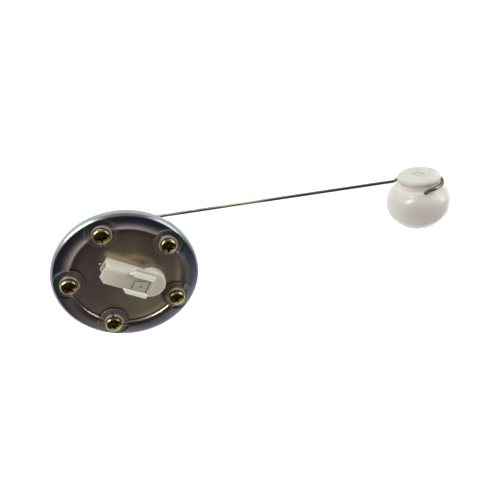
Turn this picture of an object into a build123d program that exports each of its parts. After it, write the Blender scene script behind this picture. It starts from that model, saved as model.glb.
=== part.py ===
from build123d import *
import math
import os

# Fuel level sender: a pressed round flange with a moulded socket on its dry side,
# and a variable resistor, a pivoting wire arm and a float on its wet side.
# Z = 0 is the face that meets the tank, +Z points to the dry side.
# X is the way the float arm reaches, seen from above.

# Flange, one pressing of sheet steel
flange_radius = 35.5
ring_width = 8.1
sheet = 1.2
rim_radius = 2.2
skirt_height = 4.0
recess_depth = 1.8
press_round = 0.7
pad_radius = 7.2
scallop_radius = 6.1
scallop_round = 1.4
pad_drop = 0.25
pad_slope = 1.2

# Gasket, moulded rubber that fills the underside of the flange ring
gasket_thickness = 2.5
gasket_width = 12.9
gasket_gap = 0.15

# Screws: four steps of 70 degrees and one of 80, so the flange fits one way round
screw_inset = 8.5
first_screw_angle = 97.0
screw_step = 70.0
screw_count = 5
screw_radius = 2.5
screw_neck_radius = 2.2
screw_hole_gap = 0.25
gasket_hole_gap = 0.15
head_radius = 4.4
head_height = 3.0
head_dome = 1.4
cross_span = 4.9
cross_width = 1.15
cross_depth = 1.9
cross_tip_radius = 0.9
screw_turns = (20, 65, -10, 40, 85)
free_shank = 9.5
thread_start = 0.5
shank_point = 0.8
washer_radius = 4.55
washer_gap = 0.15
washer_thickness = 1.2
washer_slit = 0.7
washer_turn = 200.0

# Socket housing, moulded in one piece with its round base and its latch flap
socket_x = 9.9
socket_y = -5.2
socket_angle = 140.5
base_radius = 7.6
base_height = 4.4
base_offset = 0.45
base_round = 0.8
socket_reach = 24.9
socket_width = 9.9
socket_height = 8.0
socket_round = 0.7
socket_crown = 2.4
mouth_slant = 0.9
key_chamfer = 3.0
wall = 1.25
cavity_depth = 12.4
rail_back = 0.4
rail_front = 10.6
rail_lead = 2.3
rail_reach = 6.8
rail_inset = 0.6
rail_width = 2.2
rail_root = 1.0
rail_low = 5.0
rail_high = 9.0
flap_back = 1.8
flap_front = 9.0
flap_hinge_side = 3.5
flap_front_side = -1.1
flap_back_side = -3.7
flap_slot = 0.45
flap_thickness = 0.9
dimple_along = 5.0
dimple_across = 0.9
dimple_radius = 0.75
dimple_depth = 0.3
spigot_radius = 4.3
spigot_gap = 0.15
spigot_length = 7.4

# Terminals: two brass blades that turn down through the base
blade_width = 2.3
blade_thickness = 0.65
blade_pitch = 3.8
blade_free = 5.6
blade_tip_chamfer = 0.46
blade_level = 4.2
blade_gap = 0.04
tail_length = 13.5

# Seal and push-on retainer under the flange
seal_radius = 6.8
seal_thickness = 1.2
retainer_radius = 6.4
retainer_thickness = 0.5
retainer_teeth = 8
retainer_notch = 0.7
retainer_notch_depth = 1.2

# Pivot of the arm, below the tank face
pivot_x = -8.0
pivot_z = -19.4
shaft_gap = 0.05
bush_wall = 1.45
bush_flange_radius = 3.5
bush_flange = 0.9
back_bush_proud = 0.7
front_bush_proud = 0.4

# Bracket, folded from sheet steel
bracket_sheet = 1.2
bracket_back_y = -3.0
bracket_foot_reach = 13.2
bracket_foot_half_width = 10.5
bracket_foot_gap = 1.0
bracket_shoulder = 1.0
bracket_half_width = 11.0
bracket_below_pivot = 9.5
bracket_fold_radius = 1.6

# Resistor housing and its cover, moulded
case_half_width = 12.4
case_above_pivot = 16.2
case_below_pivot = 8.2
case_depth = 10.6
case_wall = 1.3
case_floor = 1.8
case_corner = 3.0
cover_thickness = 1.3
boss_radius = 4.2
boss_length = 3.2
case_rivet_radius = 1.0
case_rivet_head = 1.9
case_rivet_head_height = 0.8
case_rivet_round = 0.64
case_rivet_inset = 3.0
case_rivet_rise = 2.4

# Resistor: an arched card with a winding of resistance wire
track_radius = 11.6
track_width = 3.6
card_thickness = 1.2
winding_span = 78.0
card_end = 2.0
winding_thickness = 0.3
winding_turns = 26
winding_groove = 0.18
card_groove_gap = 0.3
card_groove_depth = 0.5
card_groove_end = 3.0
clip_span = 5.0
clip_thickness = 0.4
clip_gap_angle = 1.0

# Wiper on the pivot shaft
hub_radius = 3.6
hub_length = 6.6
hub_gap = 0.3
spring_seat = 1.6
stop_lug_reach = 6.2
stop_lug_width = 2.4
stop_lug_short = 2.0
stop_gap = 0.35
stop_rib = 1.4
stop_rib_height = 6.8
stop_rib_gap = 0.8
stop_rib_over = 1.2
spring_thickness = 0.3
spring_width = 3.0
spring_tip_round = 1.2
spring_slot = 0.8
spring_slot_back = 2.0
spring_slot_front = 2.6
contact_radius = 0.8
contact_gap = 0.2
contact_height = 0.7
contact_round = 0.56
contact_tail_radius = 0.48
contact_tail_proud = 0.3
shaft_clip_radius = 2.8
shaft_clip_thickness = 0.6
shaft_clip_gap = 0.15
shaft_clip_mouth = 1.2
shaft_end = 0.65

# Arm: one spring steel wire, bent at both ends
wire_radius = 0.75
arm_plane_y = 20.9
arm_rise = 16.8
arm_bend_radius = 3.0
arm_length = 159.2
hook_radius = 10.2
hook_offset = 4.1
hook_entry_radius = 3.0
hook_end_angle = 76.0
hook_tip_angle = 16.0
hook_tip_drop = 0.8
hook_tip_flare = 1.2

# Arm travel from the place it is shown in, positive lets the float sink
travel_up = 4.0
travel_down = 66.0

# Float, one hollow moulding with a neck that turns in the hook
neck_gap = 0.6
cap_radius = 9.5
cap_height = 2.9
neck_below_cap_top = 3.9
bulb_radius = 14.2
bulb_widest = 14.2
float_height = 27.0
shoulder_radius = 10.8
shoulder_depth = 6.4
moulding_step = 0.25
cap_under = 0.6
neck_half = 0.8
ledge_out = 1.0
ledge_top = 5.2
ledge_low = 5.7
shoulder_top = 6.1
bottom_round_radius = 11.0
bottom_round_rise = 5.0
gate_radius = 2.7
gate_depth = 0.6
gate_nub_radius = 1.1
gate_nub_height = 0.5
gate_nub_round = 0.3

# Rigid straps that join the terminals to the resistor and to the bracket
strap_width = 2.4
strap_thickness = 0.5
strap_drop = 9.5
strap_below_spigot = 0.7
strap_past_tail = 1.0
strap_on_case = 0.6

# Rivet that earths the bracket to the flange
earth_past_socket = 0.62
earth_aside = -0.3
earth_rivet_radius = 0.55
earth_rivet_head = 0.8
earth_rivet_height = 0.7
earth_rivet_round = 0.5
rivet_gap = 0.05

recess_radius = flange_radius - ring_width
bolt_circle_radius = flange_radius - screw_inset
gasket_inner_radius = flange_radius - gasket_width
socket_way = math.radians(socket_angle)
earth_along = socket_reach + earth_past_socket
earth_x = socket_x + earth_along * math.cos(socket_way) - earth_aside * math.sin(socket_way)
earth_y = socket_y + earth_along * math.sin(socket_way) + earth_aside * math.cos(socket_way)
floor_low = gasket_thickness
floor_top = floor_low + sheet
ring_top = floor_top + recess_depth
ring_low = ring_top - sheet
skirt_low = ring_top - skirt_height
pad_top = ring_top - pad_drop
pad_low = pad_top - sheet
screw_angles = [first_screw_angle + screw_step * (k - screw_count // 2) for k in range(screw_count)]
cut = 0.5
close = 0.01
on_base = (Align.CENTER, Align.CENTER, Align.MIN)
bush_seat = wire_radius + shaft_gap + bush_wall

os.makedirs("parts", exist_ok=True)


def save(name, shape):
    shape.label = name
    export_step(shape, "parts/" + name + ".step")


def at_screws(shape):
    return [Rot(0, 0, a) * Pos(bolt_circle_radius, 0, 0) * shape for a in screw_angles]


def disc(radius, low, high):
    return Pos(0, 0, low) * Cylinder(radius, high - low, align=on_base)


def ring(outer, inner, low, high):
    return disc(outer, low, high) - disc(inner, low - cut, high + cut)


def along_y(radius, low, high, x=pivot_x, z=pivot_z):
    rod = Cylinder(radius, high - low, align=on_base)
    return Pos(x, low, z) * Rot(-90, 0, 0) * rod


def block(x, y, z):
    size = (x[1] - x[0], y[1] - y[0], z[1] - z[0])
    middle = ((x[0] + x[1]) / 2, (y[0] + y[1]) / 2, (z[0] + z[1]) / 2)
    return Pos(*middle) * Box(*size)


def near(edges, test):
    return [e for e in edges if test(e)]


def recess_plan(grow):
    plan = Circle(recess_radius + grow)
    for screw in at_screws(Circle(scallop_radius - grow)):
        plan -= screw
    return fillet(plan.vertices(), scallop_round)


def prism(plan, low, high):
    return extrude(Pos(0, 0, low) * plan, amount=high - low)


# Flange
def make_flange():
    shell = disc(flange_radius, skirt_low, ring_top)
    shell = fillet(shell.edges().sort_by(Axis.Z)[-1], rim_radius)
    hollow = disc(flange_radius - sheet, skirt_low - cut, ring_low)
    hollow = fillet(hollow.edges().sort_by(Axis.Z)[-1], rim_radius - sheet)
    body = shell - hollow
    body += prism(recess_plan(sheet), floor_low, ring_low + sheet / 2)
    body -= prism(recess_plan(0), floor_top, ring_top + cut)
    for level in (ring_top, floor_top, floor_low):
        edges = near(body.edges(), lambda e: on_press_edge(e, level))
        body = fillet(edges, press_round)
    for pad in at_screws(disc(pad_radius, pad_low, ring_low + sheet / 2)):
        body += pad
    body -= prism(recess_plan(0), floor_top, pad_low)
    slope = Cone(pad_radius, pad_radius + pad_slope, pad_drop, align=on_base)
    for pad in at_screws(Pos(0, 0, pad_top) * slope):
        body -= pad
    for hole in at_screws(disc(screw_radius + screw_hole_gap, floor_low - cut, ring_top + cut)):
        body -= hole
    body -= Pos(socket_x, socket_y, 0) * disc(spigot_radius + spigot_gap, floor_low - cut, floor_top + cut)
    body -= Pos(earth_x, earth_y, 0) * disc(earth_rivet_radius + rivet_gap, floor_low - cut, floor_top + cut)
    return body


def on_press_edge(edge, level):
    box = edge.bounding_box()
    flat = box.size.Z < close and abs(box.center().Z - level) < close
    reach = max(math.hypot(p.X, p.Y) for p in (edge @ 0, edge @ 0.5, edge @ 1))
    return flat and reach < flange_radius - rim_radius - close


# Gasket
def make_gasket():
    outer = flange_radius - sheet - gasket_gap
    body = disc(outer, 0, ring_low - gasket_gap)
    body = fillet(body.edges().sort_by(Axis.Z)[-1], rim_radius - sheet)
    body -= disc(gasket_inner_radius, -cut, ring_low)
    body -= prism(recess_plan(sheet + gasket_gap), floor_low, ring_top)
    for pad in at_screws(disc(pad_radius + gasket_gap, pad_low, ring_top)):
        body -= pad
    for hole in at_screws(disc(screw_radius + gasket_hole_gap, -cut, ring_top)):
        body -= hole
    return body


# Screws and their spring washers
def cross_recess(top):
    slope = (cross_span / 2 - cross_tip_radius) / cross_depth
    wide = cross_span / 2 + slope * cut
    taper = Pos(0, 0, top - cross_depth) * Cone(cross_tip_radius, wide, cross_depth + cut, align=on_base)
    arm_y = (-cross_width / 2, cross_width / 2)
    arm = block((-wide - cut, wide + cut), arm_y, (top - cross_depth - cut, top + 2 * cut))
    return taper & (arm + Rot(0, 0, 90) * arm)


def make_screws():
    low = pad_top + washer_thickness
    top = low + head_height
    head = disc(head_radius, low, top)
    head = fillet(head.edges().sort_by(Axis.Z)[-1], head_dome)
    head -= cross_recess(top)
    shank = disc(screw_radius, -free_shank, -thread_start)
    shank = chamfer(shank.edges().sort_by(Axis.Z)[0], shank_point)
    shank += disc(screw_neck_radius, -thread_start, low)
    screws = []
    for angle, turn in zip(screw_angles, screw_turns):
        screws.append(Rot(0, 0, angle) * Pos(bolt_circle_radius, 0, 0) * Rot(0, 0, turn) * (head + shank))
    return Compound(children=screws)


def make_washers():
    washer = ring(washer_radius, screw_radius + washer_gap, pad_top, pad_top + washer_thickness)
    slit_y = (-washer_slit / 2, washer_slit / 2)
    slit = block((screw_radius, washer_radius + cut), slit_y, (pad_top - cut, pad_top + washer_thickness + cut))
    slit = Rot(0, 0, washer_turn) * slit
    return Compound(children=at_screws(washer - slit))


# Socket housing, made along +X with its base at the origin, then turned to its place
def to_socket(shape):
    return Pos(socket_x, socket_y, floor_top) * Rot(0, 0, socket_angle) * shape


def blade_sides():
    return (-blade_pitch / 2, blade_pitch / 2)


def rail_plan(side):
    back = rail_back
    front = rail_front
    reach = rail_reach if side < 0 else rail_reach - rail_inset
    outer = reach * side
    inner = (reach - rail_width) * side
    root = (socket_width / 2 - rail_root) * side
    corners = [(back, root), (back, outer), (front, outer)]
    corners += [(front + rail_lead, inner), (front, inner), (front, root)]
    return make_face(Polyline(*corners, close=True))


def socket_plan():
    half = socket_width / 2
    corners = [(0, -half), (socket_reach - mouth_slant, -half), (socket_reach, half - key_chamfer)]
    corners += [(socket_reach - key_chamfer, half), (0, half)]
    return make_face(Polyline(*corners, close=True))


def is_key_side(edge, half):
    return edge.center().Y > half - close and edge.center().Z > socket_height - close


def make_socket():
    half = socket_width / 2
    body = extrude(socket_plan(), amount=socket_height)
    top_edges = near(body.edges(), lambda e: e.bounding_box().min.Z > socket_height - close)
    crown = near(top_edges, lambda e: e.bounding_box().max.Y < close - half)
    body = fillet(crown, socket_crown)
    key_side = near(body.edges().filter_by(Axis.X), lambda e: is_key_side(e, half))
    body = fillet(key_side, socket_round)
    for side in (-1, 1):
        body += extrude(Pos(0, 0, rail_low) * rail_plan(side), amount=rail_high - rail_low)
    base = disc(base_radius, 0, base_height)
    base = fillet(base.edges().sort_by(Axis.Z)[-1], base_round)
    body += Pos(0, base_offset, 0) * base
    body += disc(spigot_radius, -spigot_length, cut)
    inner = half - wall
    cavity_x = (socket_reach - cavity_depth, socket_reach + cut)
    body -= block(cavity_x, (-inner, inner), (wall, socket_height - wall))
    body -= flap_cut()
    body -= Pos(dimple_along, dimple_across, socket_height) * Cylinder(dimple_radius, 2 * dimple_depth)
    for side in blade_sides():
        body -= blade(side, blade_gap)
    return to_socket(body)


def sorted_pair(a, b):
    return (min(a, b), max(a, b))


def flap_cut():
    back = flap_back
    front = flap_front
    outline = Polyline(
        (front, flap_hinge_side), (front, flap_front_side), (back, flap_back_side), (back, flap_hinge_side))
    slot = trace(outline, line_width=flap_slot)
    return extrude(Pos(0, 0, socket_height - flap_thickness) * slot, amount=flap_thickness + cut)


def blade(side, gap):
    half = blade_width / 2 + gap
    thin = blade_thickness / 2 + gap
    end = socket_reach - cavity_depth + blade_free
    flat = block((-thin, end), (side - half, side + half), (blade_level - thin, blade_level + thin))
    tail_z = (blade_level - tail_length - gap, blade_level + thin)
    tail = block((-thin, thin), (side - half, side + half), tail_z)
    return flat + tail


def make_terminal(side):
    end = socket_reach - cavity_depth + blade_free
    body = blade(side, 0)
    tip_edges = near(body.edges(), lambda e: e.bounding_box().min.X > end - close)
    tip_edges = near(tip_edges, lambda e: e.bounding_box().size.Z > close)
    body = chamfer(tip_edges, blade_tip_chamfer)
    return to_socket(body)


def make_seal():
    body = ring(seal_radius, spigot_radius, floor_low - seal_thickness, floor_low)
    return Pos(socket_x, socket_y, 0) * body


def make_retainer():
    high = floor_low - seal_thickness
    body = ring(retainer_radius, spigot_radius, high - retainer_thickness, high)
    notch_x = (spigot_radius - cut, spigot_radius + retainer_notch_depth)
    notch_y = (-retainer_notch / 2, retainer_notch / 2)
    notch = block(notch_x, notch_y, (high - retainer_thickness - cut, high + cut))
    for k in range(retainer_teeth):
        body -= Rot(0, 0, 360 / retainer_teeth * k) * notch
    return Pos(socket_x, socket_y, 0) * body


# Bracket: a foot under the flange and a wall that carries the resistor housing
def make_bracket():
    wall_low = pivot_z - bracket_below_pivot
    foot_x = (pivot_x - bracket_foot_half_width, pivot_x + bracket_foot_half_width)
    wall_x = (pivot_x - bracket_half_width, pivot_x + bracket_half_width)
    back = bracket_back_y - bracket_sheet
    foot = block(foot_x, (back, bracket_foot_reach), (floor_low - bracket_sheet, floor_low))
    neck = block(foot_x, (back, bracket_back_y), (-bracket_shoulder - cut, floor_low))
    body = (foot + neck) & disc(gasket_inner_radius - bracket_foot_gap, -bracket_shoulder - cut, floor_low)
    body += block(wall_x, (back, bracket_back_y), (wall_low, -bracket_shoulder))
    fold = near(body.edges().filter_by(Axis.X), lambda e: is_fold(e, back, floor_low))
    body = fillet(fold, bracket_fold_radius)
    low_corners = near(body.edges().filter_by(Axis.Y), lambda e: e.center().Z < wall_low + close)
    body = fillet(low_corners, case_corner)
    foot_corners = near(body.edges().filter_by(Axis.Z), lambda e: e.center().Y > bracket_foot_reach - close)
    body = fillet(foot_corners, case_corner)
    body -= along_y(bush_seat, back - cut, bracket_back_y + cut)
    for x, z in case_rivet_places():
        body -= along_y(case_rivet_radius + rivet_gap, back - cut, bracket_back_y + cut, x, z)
    body -= Pos(earth_x, earth_y, 0) * disc(earth_rivet_radius + rivet_gap, -cut, floor_low + cut)
    return body


def is_fold(edge, y, z):
    return abs(edge.center().Y - y) < close and abs(edge.center().Z - z) < close


def case_rivet_places():
    x = case_half_width - case_rivet_inset
    low = pivot_z - case_below_pivot + case_rivet_rise
    return [(pivot_x - x, low), (pivot_x + x, low)]


# Resistor housing, a cup that opens towards +Y
case_x = (pivot_x - case_half_width, pivot_x + case_half_width)
case_z = (pivot_z - case_below_pivot, pivot_z + case_above_pivot)
case_back = bracket_back_y
case_front = case_back + case_depth
case_inside = case_back + case_floor


def rounded_block(x, y, z, corner):
    body = block(x, y, z)
    return fillet(body.edges().filter_by(Axis.Y), corner)


def arch(inner, outer, span, low, high):
    plan = Circle(outer) - Circle(inner)
    wedge_reach = 3 * outer
    half = math.radians(span / 2)
    left = (-wedge_reach * math.sin(half), wedge_reach * math.cos(half))
    right = (wedge_reach * math.sin(half), wedge_reach * math.cos(half))
    wedge = make_face(Polyline((0, 0), right, left, close=True))
    body = extrude(plan & wedge, amount=high - low)
    return Pos(pivot_x, high, pivot_z) * Rot(90, 0, 0) * body


def make_case():
    inner_x = (case_x[0] + case_wall, case_x[1] - case_wall)
    inner_z = (case_z[0] + case_wall, case_z[1] - case_wall)
    body = rounded_block(case_x, (case_back, case_front), case_z, case_corner)
    body -= rounded_block(inner_x, (case_inside, case_front + cut), inner_z, case_corner - case_wall)
    groove_half = track_width / 2 + winding_thickness + card_groove_gap
    groove = (track_radius - groove_half, track_radius + groove_half)
    groove_span = winding_span + 2 * card_groove_end
    body -= arch(*groove, groove_span, case_inside - card_groove_depth, case_inside + cut)
    for x, z in case_rivet_places():
        body += along_y(case_rivet_radius + case_wall, case_back, case_front, x, z)
    for side in (-1, 1):
        body += make_stop(side)
    body = body & rounded_block(case_x, (case_back, case_front), case_z, case_corner)
    body -= along_y(bush_seat, case_back - cut, case_inside + cut)
    for x, z in case_rivet_places():
        body -= along_y(case_rivet_radius + rivet_gap, case_back - cut, case_front + cut, x, z)
    return body


def make_stop(side):
    lug_middle = 270
    swing = (travel_up + travel_down) / 2
    near_face = stop_lug_width / 2 + stop_gap
    rib_x = (hub_radius + stop_rib_gap, stop_lug_reach + stop_rib_over)
    rib = block(rib_x, sorted_pair(-side * near_face, -side * (near_face + stop_rib)), (0, stop_rib_height))
    return Pos(pivot_x, case_inside, pivot_z) * Rot(-90, 0, 0) * Rot(0, 0, -lug_middle - side * swing) * rib


def make_cover():
    high = case_front + cover_thickness
    body = rounded_block(case_x, (case_front, high), case_z, case_corner)
    body += along_y(boss_radius, case_front, high + boss_length)
    body -= along_y(bush_seat, case_front - cut, high + boss_length + cut)
    for x, z in case_rivet_places():
        body -= along_y(case_rivet_radius + rivet_gap, case_front - cut, high + cut, x, z)
    return body


def make_case_rivets():
    rivets = []
    low = case_back - bracket_sheet
    high = case_front + cover_thickness
    for x, z in case_rivet_places():
        rivet = along_y(case_rivet_radius, low, high, x, z)
        for face, way in ((low, -1), (high, 1)):
            head = along_y(case_rivet_head, *sorted_pair(face, face + way * case_rivet_head_height), x, z)
            rim = head.edges().sort_by(Axis.Y)
            rivet += fillet(rim[-1] if way > 0 else rim[0], case_rivet_round)
        rivets.append(rivet)
    return Compound(children=rivets)


# Bushes
def make_bush(low, high, flange_low, flange_high):
    body = along_y(bush_seat, low, high)
    body += along_y(bush_flange_radius, flange_low, flange_high)
    return body - along_y(wire_radius + shaft_gap, low - bush_flange - cut, high + bush_flange + cut)


back_bush_low = case_back - bracket_sheet
front_bush_high = case_front + cover_thickness + boss_length


# Resistor
card_low = case_inside
card_high = card_low + card_thickness
trim_angle = 2.0
card_span = winding_span + 2 * (clip_gap_angle + clip_span + card_end)


def make_card():
    low = track_radius - track_width / 2
    high = track_radius + track_width / 2
    return arch(low, high, card_span, card_low, card_high)


def make_winding():
    low = track_radius - track_width / 2
    high = track_radius + track_width / 2
    wire = winding_thickness
    body = arch(low - wire, high + wire, winding_span, card_low - wire, card_high + wire)
    body -= arch(low, high, winding_span + trim_angle, card_low, card_high)
    pitch = winding_span / winding_turns
    groove_y = (card_high + wire / 2, card_high + wire + cut)
    groove = block((low - wire - cut, high + wire + cut), groove_y, (-winding_groove / 2, winding_groove / 2))
    for k in range(1, winding_turns):
        angle = 90 - winding_span / 2 + pitch * k
        body -= Pos(pivot_x, 0, pivot_z) * Rot(0, -angle, 0) * groove
    return body


def make_card_clip(side):
    low = track_radius - track_width / 2
    high = track_radius + track_width / 2
    rim = clip_thickness
    body = arch(low - rim, high + rim, clip_span, card_low, card_high + rim)
    body -= arch(low, high, clip_span + trim_angle, card_low - cut, card_high)
    turn = side * (winding_span / 2 + clip_span / 2 + clip_gap_angle)
    return Pos(pivot_x, 0, pivot_z) * Rot(0, -turn, 0) * Pos(-pivot_x, 0, -pivot_z) * body


# Wiper parts, built pointing along +X from the pivot and turned to the arm's angle
wiper_angle = 90 + (travel_down - travel_up) / 2
hub_low = case_inside + back_bush_proud + hub_gap
hub_high = hub_low + hub_length
contact_low = card_high + winding_thickness + contact_gap
spring_low = contact_low + contact_height


def to_wiper(shape):
    return Pos(pivot_x, 0, pivot_z) * Rot(0, -wiper_angle, 0) * shape


def make_hub():
    body = along_y(hub_radius, hub_low, hub_high, 0, 0)
    half = stop_lug_width / 2
    body += block((-stop_lug_reach, 0), (hub_low, hub_high - stop_lug_short), (-half, half))
    body -= along_y(wire_radius, hub_low - cut, hub_high + cut, 0, 0)
    step = spring_low + spring_thickness
    seat_x = (hub_radius - spring_seat, hub_radius + cut)
    body -= block(seat_x, (hub_low - cut, step), (-hub_radius, hub_radius))
    return to_wiper(body)


def make_wiper_spring():
    half = spring_width / 2
    root = hub_radius - spring_seat
    tip = track_radius + contact_radius
    body = block((root, tip), (spring_low, spring_low + spring_thickness), (-half, half))
    corners = near(body.edges().filter_by(Axis.Y), lambda e: e.center().X > tip - close)
    body = fillet(corners, spring_tip_round)
    slot_y = (spring_low - cut, spring_low + spring_thickness + cut)
    slot_x = (root + spring_slot_back, tip - spring_slot_front)
    body -= block(slot_x, slot_y, (-spring_slot / 2, spring_slot / 2))
    body -= along_y(contact_tail_radius, *slot_y, track_radius, 0)
    return to_wiper(body)


def make_contact():
    body = along_y(contact_radius, contact_low, spring_low, track_radius, 0)
    body = fillet(body.edges().sort_by(Axis.Y)[0], contact_round)
    tail_high = spring_low + spring_thickness + contact_tail_proud
    body += along_y(contact_tail_radius, spring_low, tail_high, track_radius, 0)
    return to_wiper(body)


def make_shaft_clip():
    high = back_bush_low - bush_flange - shaft_clip_gap
    low = high - shaft_clip_thickness
    body = along_y(shaft_clip_radius, low, high, 0, 0) - along_y(wire_radius, low - cut, high + cut, 0, 0)
    mouth = (-shaft_clip_mouth / 2, shaft_clip_mouth / 2)
    body -= block((0, shaft_clip_radius + cut), (low - cut, high + cut), mouth)
    return to_wiper(body)


# Arm
along = Vector(math.cos(math.radians(arm_rise)), 0, math.sin(math.radians(arm_rise)))
across = Vector(-math.sin(math.radians(arm_rise)), 0, math.cos(math.radians(arm_rise)))
hook_middle = Vector(pivot_x, arm_plane_y, pivot_z) + along * math.sqrt(arm_length ** 2 - hook_offset ** 2)
hook_middle = hook_middle + across * hook_offset


def hook_point(angle, radius=hook_radius, lift=0.0):
    a = math.radians(angle)
    return hook_middle + along * (radius * math.cos(a)) + across * (radius * math.sin(a)) + Vector(0, lift, 0)


def make_arm():
    start_y = back_bush_low - bush_flange - shaft_clip_gap - shaft_clip_thickness - shaft_end
    r = arm_bend_radius
    corner = Vector(pivot_x, arm_plane_y, pivot_z)
    up = Vector(0, 1, 0)
    bend_start = corner - up * r
    bend_end = corner + along * r
    inward = r * (1 - math.sqrt(0.5))
    bend_middle = corner - up * inward + along * inward
    entry = hook_entry_radius
    entry_x = -math.sqrt((hook_radius + entry) ** 2 - (hook_offset + entry) ** 2)
    entry_middle = hook_middle + along * entry_x - across * (hook_offset + entry)
    join_angle = math.degrees(math.atan2(-(hook_offset + entry), entry_x)) + 360
    entry_start = entry_middle + across * entry
    entry_end = hook_point(join_angle)
    half_way = ((entry_start - entry_middle) + (entry_end - entry_middle)).normalized() * entry
    hook_end = 360 + hook_end_angle
    tangent = hook_point(hook_end + close) - hook_point(hook_end)
    tip = hook_point(hook_end + hook_tip_angle, hook_radius + hook_tip_flare, -hook_tip_drop)
    path = Wire([
        Edge.make_line(Vector(pivot_x, start_y, pivot_z), bend_start),
        Edge.make_three_point_arc(bend_start, bend_middle, bend_end),
        Edge.make_line(bend_end, entry_start),
        Edge.make_three_point_arc(entry_start, entry_middle + half_way, entry_end),
        Edge.make_three_point_arc(entry_end, hook_point((join_angle + hook_end) / 2), hook_point(hook_end)),
        Edge.make_tangent_arc(hook_point(hook_end), tangent, tip),
    ])
    section = Plane(origin=(pivot_x, start_y, pivot_z), z_dir=(0, 1, 0)) * Circle(wire_radius)
    return sweep(section, path=path, transition=Transition.ROUND)


# Float, turned about its own axis, with its cap towards +Y
def make_float():
    neck = hook_radius - wire_radius - neck_gap
    cap_edge = cap_height / 2
    neck_top = neck_below_cap_top - neck_half
    neck_low = neck_below_cap_top + neck_half
    step = moulding_step
    rim = cap_radius - cap_edge
    under = cap_radius - cap_under
    line = Polyline((0, 0), (rim, 0))
    cap = ThreePointArc((rim, 0), (cap_radius, -cap_edge), (under, -cap_height))
    lip = Polyline((under, -cap_height), (neck, -neck_top), (neck, -neck_low))
    ledge = neck + ledge_out
    shoulder = Polyline(
        (neck, -neck_low), (ledge, -ledge_top), (ledge + step, -ledge_low),
        (shoulder_radius - step, -shoulder_top), (shoulder_radius, -shoulder_depth))
    upper = Spline(
        (shoulder_radius, -shoulder_depth), (bulb_radius, -bulb_widest),
        tangents=((1, -0.75), (0, -1)))
    lower = Spline(
        (bulb_radius, -bulb_widest),
        (bottom_round_radius, bottom_round_rise - float_height),
        (0, -float_height),
        tangents=((0, -1), (-1, 0)))
    axis_line = Line((0, -float_height), (0, 0))
    profile = make_face(line + cap + lip + shoulder + upper + lower + axis_line)
    body = revolve(Plane.XZ * profile, Axis.Z)
    body -= disc(gate_radius, -gate_depth, cut)
    nub = disc(gate_nub_radius, -gate_depth, gate_nub_height - gate_depth)
    body += fillet(nub.edges().sort_by(Axis.Z)[-1], gate_nub_round)
    place = Pos(hook_middle.X, hook_middle.Y + neck_below_cap_top, hook_middle.Z)
    return place * Rot(-90, 0, 0) * body


# Straps on the wet side, folded from flat strip
def tail_place(side):
    return (socket_x - side * math.sin(socket_way), socket_y + side * math.cos(socket_way))


strap_level = floor_top - spigot_length - strap_below_spigot
half_strap = strap_width / 2


def make_signal_strap():
    x, y = tail_place(blade_sides()[1])
    level = (strap_level - strap_thickness, strap_level)
    side_x = (case_x[1], case_x[1] + strap_thickness)
    side_y = (case_back + strap_on_case, case_back + strap_on_case + strap_width)
    body = block((side_x[0], x + strap_past_tail), (y - half_strap, y + half_strap), level)
    body += block((side_x[0], side_x[0] + strap_width), (y - half_strap, side_y[1]), level)
    body += block(side_x, side_y, (strap_level - strap_drop, strap_level))
    return body - to_socket(blade(blade_sides()[1], 0))


def make_earth_strap():
    x, y = tail_place(blade_sides()[0])
    high = floor_low - bracket_sheet
    low = strap_level - strap_thickness
    edge = x + half_strap
    top_y = (earth_y - half_strap, earth_y + half_strap)
    body = block((earth_x - half_strap, edge), top_y, (high - strap_thickness, high))
    body += block((edge - strap_thickness, edge), top_y, (low, high))
    body += block((x - half_strap, edge), (y - half_strap, earth_y + half_strap), (low, strap_level))
    hole = disc(earth_rivet_radius + rivet_gap, high - strap_thickness - cut, high + cut)
    body -= Pos(earth_x, earth_y, 0) * hole
    return body - to_socket(blade(blade_sides()[0], 0))


def make_earth_rivet():
    low = floor_low - bracket_sheet - strap_thickness
    body = disc(earth_rivet_radius, low, floor_top)
    top = disc(earth_rivet_head, floor_top, floor_top + earth_rivet_height)
    body += fillet(top.edges().sort_by(Axis.Z)[-1], earth_rivet_round)
    tail = disc(earth_rivet_head, low - earth_rivet_height, low)
    body += fillet(tail.edges().sort_by(Axis.Z)[0], earth_rivet_round)
    return Pos(earth_x, earth_y, 0) * body


back_flange = (back_bush_low - bush_flange, back_bush_low)
front_flange = (front_bush_high, front_bush_high + bush_flange)

save("mounting_flange", make_flange())
save("flange_gasket", make_gasket())
save("mounting_screws", make_screws())
save("lock_washers", make_washers())
save("connector_housing", make_socket())
save("signal_terminal", make_terminal(blade_sides()[1]))
save("earth_terminal", make_terminal(blade_sides()[0]))
save("connector_seal", make_seal())
save("connector_retainer", make_retainer())
save("support_bracket", make_bracket())
save("resistor_housing", make_case())
save("housing_cover", make_cover())
save("housing_rivets", make_case_rivets())
save("back_bush", make_bush(back_bush_low, case_inside + back_bush_proud, *back_flange))
save("front_bush", make_bush(case_front - front_bush_proud, front_bush_high, *front_flange))
save("resistor_card", make_card())
save("resistance_winding", make_winding())
save("full_end_clip", make_card_clip(1))
save("empty_end_clip", make_card_clip(-1))
save("wiper_hub", make_hub())
save("wiper_spring", make_wiper_spring())
save("wiper_contact", make_contact())
save("shaft_clip", make_shaft_clip())
save("float_arm", make_arm())
save("float", make_float())
save("earth_rivet", make_earth_rivet())
save("signal_strap", make_signal_strap())
save("earth_strap", make_earth_strap())
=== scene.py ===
import math

import bpy
from mathutils import Matrix, Vector


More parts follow.
